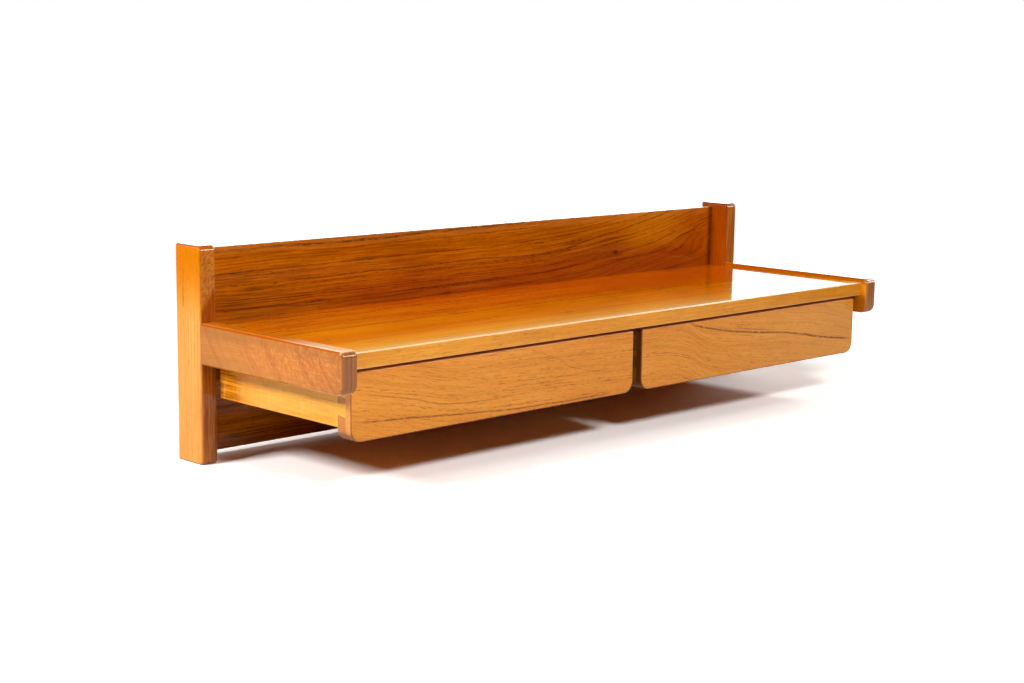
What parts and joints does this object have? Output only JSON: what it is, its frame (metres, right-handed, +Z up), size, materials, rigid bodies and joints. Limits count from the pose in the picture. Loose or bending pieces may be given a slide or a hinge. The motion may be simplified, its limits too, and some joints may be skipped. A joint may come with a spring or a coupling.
{
  "type": "floating wall desk",
  "caption": "Wall-hung teak desk: a low back panel between uprights, a shallow shelf between side rails, and two handle-less drawers hung on runners below it.",
  "frame": {"origin": "on the wall plane, midway between the entry holes of the two hanger plates", "axes": "+X to the right along the wall, +Y into the wall, +Z up; the drawers open towards -Y"},
  "size_m": [1, 0.3135, 0.2635],
  "materials": {
    "teak_upright": "glossy clear lacquer over oiled teak, straight grain upright",
    "teak_rail": "glossy clear lacquer, curved growth rings on the sides, dark grain at the nose",
    "teak_back_panel": "veneered teak, grain along the desk, glossy clear lacquer",
    "teak_shelf": "veneered teak, grain along the desk, glossy clear lacquer that mirrors at a low angle",
    "teak_lipping": "solid teak strips, clear lacquer",
    "teak_drawer_front": "solid teak, fine pores and dark growth lines, satin to gloss lacquer",
    "drawer_side_wood": "pale solid wood, lacquered",
    "plywood": "thin plywood, sealed",
    "beech": "plain beech, waxed",
    "zinc_plated_steel": "zinc plated",
    "steel_screw": "slotted countersunk steel screw"
  },
  "bodies": {
    "frame": {"left_upright": "teak_upright", "right_upright": "teak_upright", "left_side_rail": "teak_rail", "right_side_rail": "teak_rail", "back_panel": "teak_back_panel", "back_panel_top_lipping": "teak_lipping", "back_panel_foot_lipping": "teak_lipping", "shelf_board": "teak_shelf", "shelf_front_lipping": "teak_lipping", "middle_runner_board": "beech", "left_outer_runner": "beech", "right_outer_runner": "beech", "left_middle_runner": "beech", "right_middle_runner": "beech", "left_hanger_plate": "zinc_plated_steel", "right_hanger_plate": "zinc_plated_steel", "rail_dowels": "beech", "back_panel_dowels": "beech", "shelf_end_dowels": "beech", "shelf_back_dowels": "beech", "middle_board_dowels": "beech", "outer_runner_screws": "steel_screw", "middle_runner_screws": "steel_screw", "hanger_plate_screws": "steel_screw"},
    "left_drawer": {"left_drawer_front": "teak_drawer_front", "left_drawer_outer_side": "drawer_side_wood", "left_drawer_inner_side": "drawer_side_wood", "left_drawer_back": "drawer_side_wood", "left_drawer_bottom": "plywood", "left_drawer_bottom_screws": "steel_screw"},
    "right_drawer": {"right_drawer_front": "teak_drawer_front", "right_drawer_outer_side": "drawer_side_wood", "right_drawer_inner_side": "drawer_side_wood", "right_drawer_back": "drawer_side_wood", "right_drawer_bottom": "plywood", "right_drawer_bottom_screws": "steel_screw"}
  },
  "joints": [
    {"name": "left_drawer_slide", "type": "slide", "parent": "frame", "child": "left_drawer", "axis": [0, -1, 0], "range_m": [0, 0.18]},
    {"name": "right_drawer_slide", "type": "slide", "parent": "frame", "child": "right_drawer", "axis": [0, -1, 0], "range_m": [0, 0.18]}
  ]
}
